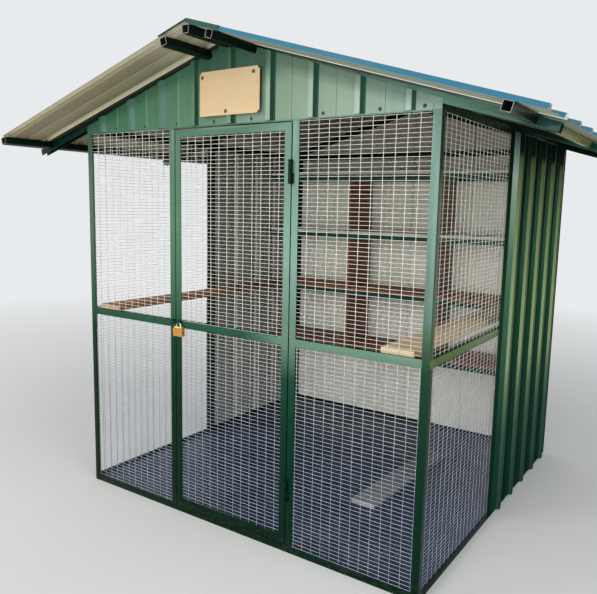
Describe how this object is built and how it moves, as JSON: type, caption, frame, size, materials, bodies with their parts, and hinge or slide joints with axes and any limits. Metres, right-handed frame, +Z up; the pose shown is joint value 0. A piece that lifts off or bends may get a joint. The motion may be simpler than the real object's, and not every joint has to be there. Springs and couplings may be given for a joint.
{
  "type": "garden aviary",
  "caption": "Walk-in aviary: steel angle frame, welded mesh front and sides, sheet rear, overhanging gable roof, mesh door on hinges and a shelf rack.",
  "frame": {"origin": "ground point in the middle of the rectangle between the outer faces of the corner posts", "axes": "+X along the front to the right, +Y back to the closed rear wall, +Z up"},
  "size_m": [2.858, 2.45, 2.3269],
  "materials": {
    "frame_paint": "gloss moss green paint",
    "roof_blue": "coated steel sheet, blue outside and grey beneath",
    "sheet_green": "coated steel sheet, green outside",
    "wire": "galvanised welded wire",
    "brass": "worn brass",
    "plaque_wood": "light varnished board",
    "floor_board": "dark coated board",
    "pale_board": "bare sawn board",
    "stained_board": "red brown stained board"
  },
  "bodies": {
    "house": {"door_post_left": "frame_paint", "door_post_right": "frame_paint", "floor_panel": "floor_board", "floor_plank": "pale_board", "front_mid_rails": "frame_paint", "front_sill": "frame_paint", "gable_sheet": "sheet_green", "hinge_halves_fixed": "frame_paint", "lock_eye_post": "frame_paint", "mesh_front_left": "wire", "mesh_front_right": "wire", "mesh_side_left": "wire", "mesh_side_right": "wire", "plaque": "plaque_wood", "post_front_left": "frame_paint", "post_front_right": "frame_paint", "post_rear_left": "frame_paint", "post_rear_right": "frame_paint", "purlin_ridge": "frame_paint", "purlins_eave": "frame_paint", "purlins_near_ridge": "frame_paint", "rack_dividers": "stained_board", "rack_frames": "frame_paint", "rack_shelves": "stained_board", "rafters_front": "frame_paint", "rafters_middle": "frame_paint", "rafters_rear": "frame_paint", "rear_mid_rail": "frame_paint", "rear_sill": "frame_paint", "rear_wall_sheet": "sheet_green", "ridge_cap": "sheet_green", "roof_sheet_left": "roof_blue", "roof_sheet_right": "roof_blue", "side_board_left": "stained_board", "side_board_right": "pale_board", "side_mid_rails": "frame_paint", "side_posts": "frame_paint", "side_sills": "frame_paint", "top_rail_front": "frame_paint", "top_rail_rear": "frame_paint", "top_rails_side": "frame_paint", "wall_sheet_left": "sheet_green", "wall_sheet_right": "sheet_green"},
    "door": {"door_frame": "frame_paint", "door_mesh": "wire", "hinge_halves_door": "frame_paint", "lock_eye_door": "frame_paint", "padlock": "brass"}
  },
  "joints": [
    {"name": "door_hinge", "type": "hinge", "parent": "house", "child": "door", "pos_m": [0.3375, -1.0195, 1], "axis": [0, 0, 1], "range_deg": [0, 110]}
  ]
}
